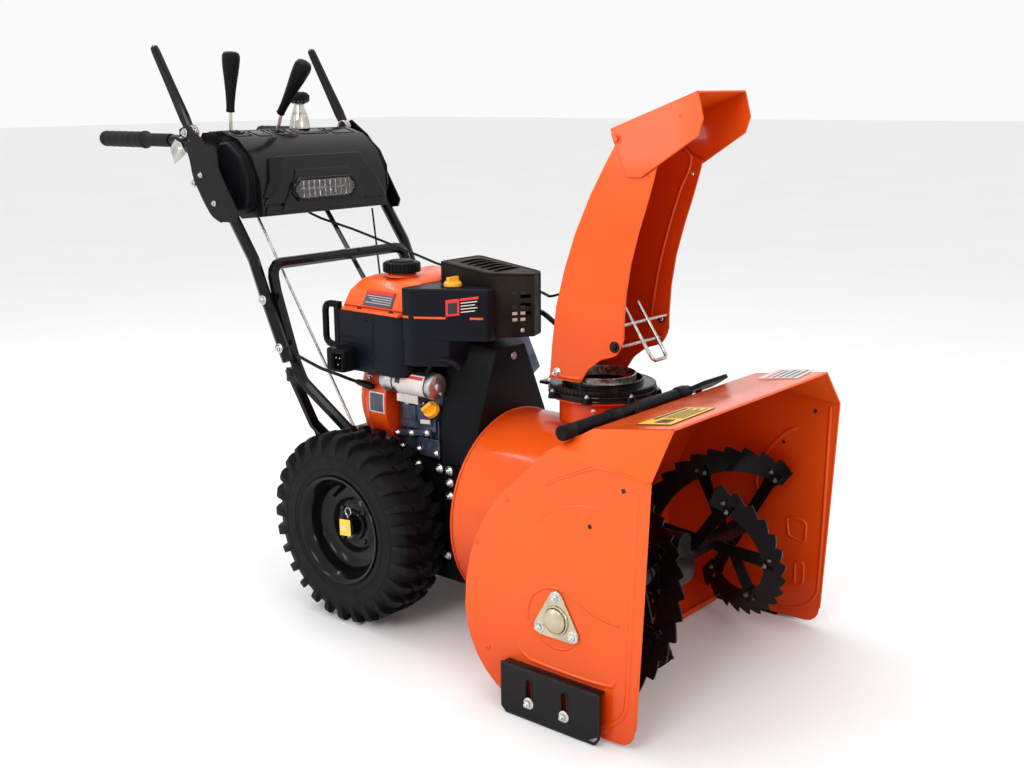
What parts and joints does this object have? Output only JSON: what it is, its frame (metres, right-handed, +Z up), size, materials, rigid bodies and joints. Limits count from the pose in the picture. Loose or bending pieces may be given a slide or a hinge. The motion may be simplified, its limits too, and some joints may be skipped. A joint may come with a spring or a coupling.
{
  "type": "two stage snowblower",
  "caption": "Walk-behind snowblower with an auger bucket and impeller, a turning discharge chute with tilting deflector, a petrol engine, two drive wheels and a handlebar with its controls.",
  "frame": {"origin": "on the ground, below the centre of the bounding box", "axes": "+Z up; the machine drives towards -Y and its handlebar is at +Y; the operator's right hand is at -X"},
  "size_m": [0.708, 1.6071, 1.1902],
  "materials": {
    "orange_paint": "gloss powder coat",
    "orange_plastic": "moulded, gloss",
    "black_paint": "gloss powder coat",
    "black_plastic": "moulded, fine texture",
    "grip_rubber": "moulded, matt",
    "tyre_rubber": "matt",
    "cable_jacket": "smooth jacket",
    "zinc": "zinc plated",
    "cast_alloy": "as cast",
    "yellow_plastic": "moulded, satin",
    "lamp_lens": "clear moulding"
  },
  "bodies": {
    "machine": {"bucket_wrap": "orange_paint", "side_plate_right": "orange_paint", "side_plate_left": "orange_paint", "impeller_drum": "orange_paint", "outlet_neck": "orange_paint", "fan_housing": "orange_plastic", "fuel_tank": "orange_plastic", "skid_shoe_right": "black_paint", "skid_shoe_left": "black_paint", "gearbox_housing": "black_paint", "chute_base_ring": "black_paint", "chassis_frame": "black_paint", "muffler_guard": "black_paint", "lower_handle": "black_paint", "upper_handle_right": "black_paint", "upper_handle_left": "black_paint", "dash_plate_right": "black_paint", "dash_plate_left": "black_paint", "chute_control_rod": "black_paint", "belt_cover": "black_plastic", "engine_cover": "black_plastic", "starter_box": "black_plastic", "dash_panel": "black_plastic", "grip_right": "grip_rubber", "grip_left": "grip_rubber", "clutch_cable_right": "cable_jacket", "clutch_cable_left": "cable_jacket", "deflector_cable": "cable_jacket", "starter_lead": "cable_jacket", "auger_bearing_right": "zinc", "auger_bearing_left": "zinc", "engine_block": "cast_alloy", "starter_motor": "cast_alloy", "headlight": "lamp_lens"},
    "augers": {"auger_shaft": "cast_alloy", "auger_right": "black_paint", "auger_left": "black_paint"},
    "impeller": {"impeller": "black_paint", "impeller_shaft": "cast_alloy"},
    "crankshaft": {"crankshaft": "cast_alloy"},
    "wheels": {"axle": "cast_alloy", "rim_right": "black_paint", "rim_left": "black_paint", "tyre_right": "tyre_rubber", "tyre_left": "tyre_rubber"},
    "chute": {"chute_ring": "zinc", "chute_body": "orange_paint"},
    "deflector": {"chute_deflector": "orange_paint"},
    "chute_crank": {"chute_crank": "zinc"},
    "speed_lever": {"speed_lever": "black_plastic"},
    "deflector_lever": {"deflector_lever": "black_plastic"},
    "clutch_lever_right": {"clutch_lever_right": "grip_rubber"},
    "clutch_lever_left": {"clutch_lever_left": "grip_rubber"},
    "shift_rod": {"shift_rod": "zinc"},
    "fuel_cap": {"fuel_cap": "black_plastic"},
    "oil_cap": {"oil_cap": "yellow_plastic"},
    "choke_knob": {"choke_knob": "yellow_plastic"},
    "starter_button": {"starter_button": "yellow_plastic"},
    "recoil_grip": {"recoil_grip": "black_plastic"},
    "clean_out_tool": {"clean_out_tool": "black_plastic"}
  },
  "joints": [
    {"name": "auger_spin", "type": "hinge", "parent": "machine", "child": "augers", "pos_m": [0, -0.6165, 0.197], "axis": [1, 0, 0], "continuous": true},
    {"name": "impeller_spin", "type": "hinge", "parent": "machine", "child": "impeller", "pos_m": [0, -0.3165, 0.247], "axis": [0, 1, 0], "continuous": true},
    {"name": "crank_spin", "type": "hinge", "parent": "machine", "child": "crankshaft", "pos_m": [0, -0.2165, 0.455], "axis": [0, 1, 0], "continuous": true},
    {"name": "wheel_spin", "type": "hinge", "parent": "machine", "child": "wheels", "pos_m": [0, 0.0115, 0.202], "axis": [1, 0, 0], "continuous": true},
    {"name": "chute_turn", "type": "hinge", "parent": "machine", "child": "chute", "pos_m": [0.06, -0.4255, 0.5003], "axis": [0, 0, 1], "range_deg": [-100, 100]},
    {"name": "deflector_tilt", "type": "hinge", "parent": "chute", "child": "deflector", "pos_m": [0.06, -0.5045, 1.003], "axis": [1, 0, 0], "range_deg": [0, 40]},
    {"name": "crank_turn", "type": "hinge", "parent": "machine", "child": "chute_crank", "pos_m": [0.046, 0.4335, 1], "axis": [0, 0, 1], "range_deg": [-300, 300]},
    {"name": "speed_lever_tilt", "type": "hinge", "parent": "machine", "child": "speed_lever", "pos_m": [-0.155, 0.4335, 0.952], "axis": [1, 0, 0], "range_deg": [-18, 18]},
    {"name": "shift_rod_slide", "type": "slide", "parent": "machine", "child": "shift_rod", "axis": [-0.0303, 0.5213, 0.8528], "range_m": [-0.012, 0.012]},
    {"name": "deflector_lever_tilt", "type": "hinge", "parent": "machine", "child": "deflector_lever", "pos_m": [-0.04, 0.4335, 0.952], "axis": [1, 0, 0], "range_deg": [-40, 0]},
    {"name": "clutch_right", "type": "hinge", "parent": "machine", "child": "clutch_lever_right", "pos_m": [-0.2275, 0.4755, 1.003], "axis": [1, 0, 0], "range_deg": [-42, 0], "stiffness_Nm_per_rad": 1.5, "springref_deg": 17.19},
    {"name": "clutch_left", "type": "hinge", "parent": "machine", "child": "clutch_lever_left", "pos_m": [0.2275, 0.4755, 1.003], "axis": [1, 0, 0], "range_deg": [-42, 0], "stiffness_Nm_per_rad": 1.5, "springref_deg": 17.19},
    {"name": "fuel_cap_turn", "type": "hinge", "parent": "machine", "child": "fuel_cap", "pos_m": [-0.095, -0.0265, 0.73], "axis": [0, 0, 1], "range_deg": [0, 180]},
    {"name": "oil_cap_turn", "type": "hinge", "parent": "machine", "child": "oil_cap", "pos_m": [-0.134, -0.1425, 0.455], "axis": [-0.8396, 0, 0.5433], "range_deg": [0, 180]},
    {"name": "choke_turn", "type": "hinge", "parent": "machine", "child": "choke_knob", "pos_m": [-0.113, -0.1845, 0.71], "axis": [0, 0, 1], "range_deg": [0, 90]},
    {"name": "button_press", "type": "slide", "parent": "machine", "child": "starter_button", "axis": [0, -1, 0], "range_m": [0, 0.003], "stiffness_N_per_m": 300, "springref_m": -0.003},
    {"name": "recoil_pull", "type": "slide", "parent": "machine", "child": "recoil_grip", "axis": [-0.8, 0.6, 0], "range_m": [0, 0.45], "stiffness_N_per_m": 20, "springref_m": -0.1},
    {"name": "tool_lift", "type": "slide", "parent": "machine", "child": "clean_out_tool", "axis": [0, 0, 1], "range_m": [0, 0.12]}
  ],
  "couplings": [
    {"joint": "impeller_spin", "follows": "auger_spin", "ratio": 10},
    {"joint": "crank_turn", "follows": "chute_turn", "ratio": 3},
    {"joint": "shift_rod_slide", "follows": "speed_lever_tilt", "m_per_rad": 0.03},
    {"joint": "deflector_lever_tilt", "follows": "deflector_tilt", "ratio": -0.7}
  ]
}
